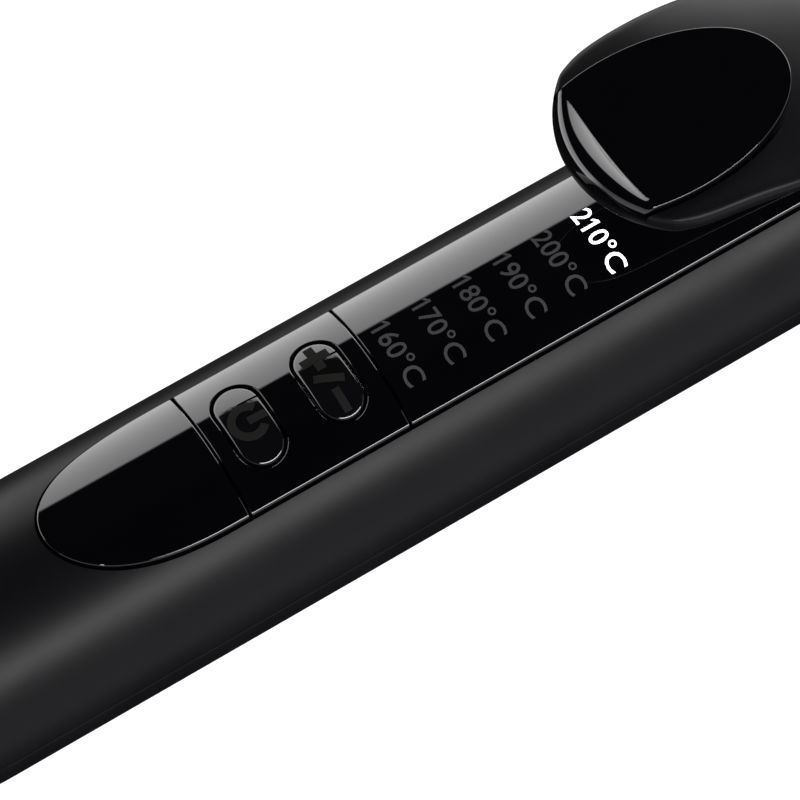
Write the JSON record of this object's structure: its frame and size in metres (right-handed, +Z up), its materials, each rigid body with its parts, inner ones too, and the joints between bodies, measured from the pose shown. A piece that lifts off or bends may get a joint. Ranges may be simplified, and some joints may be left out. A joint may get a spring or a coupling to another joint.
{
  "type": "curling iron",
  "caption": "Round black hair curling iron with a glossy control panel, lit temperature legends, a heated barrel and a sprung thumb clamp.",
  "frame": {"origin": "centre of the mouth of the cord inlet at the rear end, on the handle's axis", "axes": "+X along the handle and barrel towards the cool tip, +Z up out of the control panel and the thumb clamp"},
  "size_m": [0.344, 0.034, 0.0543],
  "materials": {
    "housing": "fine satin texture",
    "gloss_panel": "high gloss",
    "legend_dim": "unlit print under gloss",
    "legend_lit": "lit white",
    "light_guide": "frosted",
    "circuit_board": "solder mask",
    "electronics": "moulded",
    "inner_plastic": "moulded",
    "ceramic": "unglazed",
    "screw_steel": "zinc plated",
    "spring_steel": "drawn wire",
    "contact_brass": "turned",
    "foot_rubber": "matte",
    "barrel_coat": "satin ceramic coat",
    "collar_plastic": "fine satin texture",
    "heater_aluminium": "extruded",
    "insulating_film": "clear amber",
    "lead_silicone": "matte"
  },
  "bodies": {
    "handle": {"handle_upper_shell": "housing", "handle_lower_shell": "housing", "tail_inlay": "gloss_panel", "button_panel": "gloss_panel", "display_lens": "gloss_panel", "legend_dim": "legend_dim", "legend_lit": "legend_lit", "light_guide": "light_guide", "control_board": "circuit_board", "board_screws": "screw_steel", "power_switch": "electronics", "plus_switch": "electronics", "minus_switch": "electronics", "rocker_cradle": "inner_plastic", "legend_leds": "legend_lit", "filter_capacitor": "electronics", "triac": "electronics", "board_fuse": "ceramic", "cord_terminal": "inner_plastic", "shell_screws": "screw_steel", "swivel_retainer": "inner_plastic", "brush_block": "inner_plastic", "contact_brushes": "contact_brass", "rear_foot": "foot_rubber", "barrel_socket": "inner_plastic", "barrel_tube": "barrel_coat", "barrel_collar": "collar_plastic", "heater_block_upper": "heater_aluminium", "heater_block_lower": "heater_aluminium", "ceramic_heater": "ceramic", "heater_film": "insulating_film", "temperature_sensor": "ceramic", "thermal_fuse": "screw_steel", "heater_terminal": "ceramic", "heater_leads": "lead_silicone", "cool_tip": "collar_plastic", "tip_screw": "screw_steel", "pivot_pin": "screw_steel", "clamp_spring": "spring_steel", "stand_pin": "screw_steel"},
    "clamp": {"lever_body": "housing", "thumb_pad": "gloss_panel", "clamp_spoon": "barrel_coat", "spoon_rivets": "screw_steel"},
    "power_key": {"power_button": "gloss_panel"},
    "temperature_key": {"temperature_button": "gloss_panel"},
    "swivel": {"cord_swivel": "collar_plastic", "contact_rings": "contact_brass"},
    "stand": {"stand": "collar_plastic"}
  },
  "joints": [
    {"name": "clamp_hinge", "type": "hinge", "parent": "handle", "child": "clamp", "pos_m": [0.175, 0, 0.004], "axis": [0, -1, 0], "range_deg": [0, 12], "stiffness_Nm_per_rad": 0.5, "springref_deg": -28.65, "deforming": ["clamp_spring"]},
    {"name": "power_press", "type": "slide", "parent": "handle", "child": "power_key", "axis": [0, 0, -1], "range_m": [0, 0.0006], "stiffness_N_per_m": 900},
    {"name": "temperature_rock", "type": "hinge", "parent": "handle", "child": "temperature_key", "pos_m": [0.0831, 0, 0.0132], "axis": [1, 0, 0], "range_deg": [-3, 3], "stiffness_Nm_per_rad": 0.06},
    {"name": "cord_swivel_turn", "type": "hinge", "parent": "handle", "child": "swivel", "pos_m": [0.0092, 0, 0], "axis": [1, 0, 0], "continuous": true},
    {"name": "stand_fold", "type": "hinge", "parent": "handle", "child": "stand", "pos_m": [0.1715, 0, -0.016], "axis": [0, -1, 0], "range_deg": [0, 100]}
  ]
}
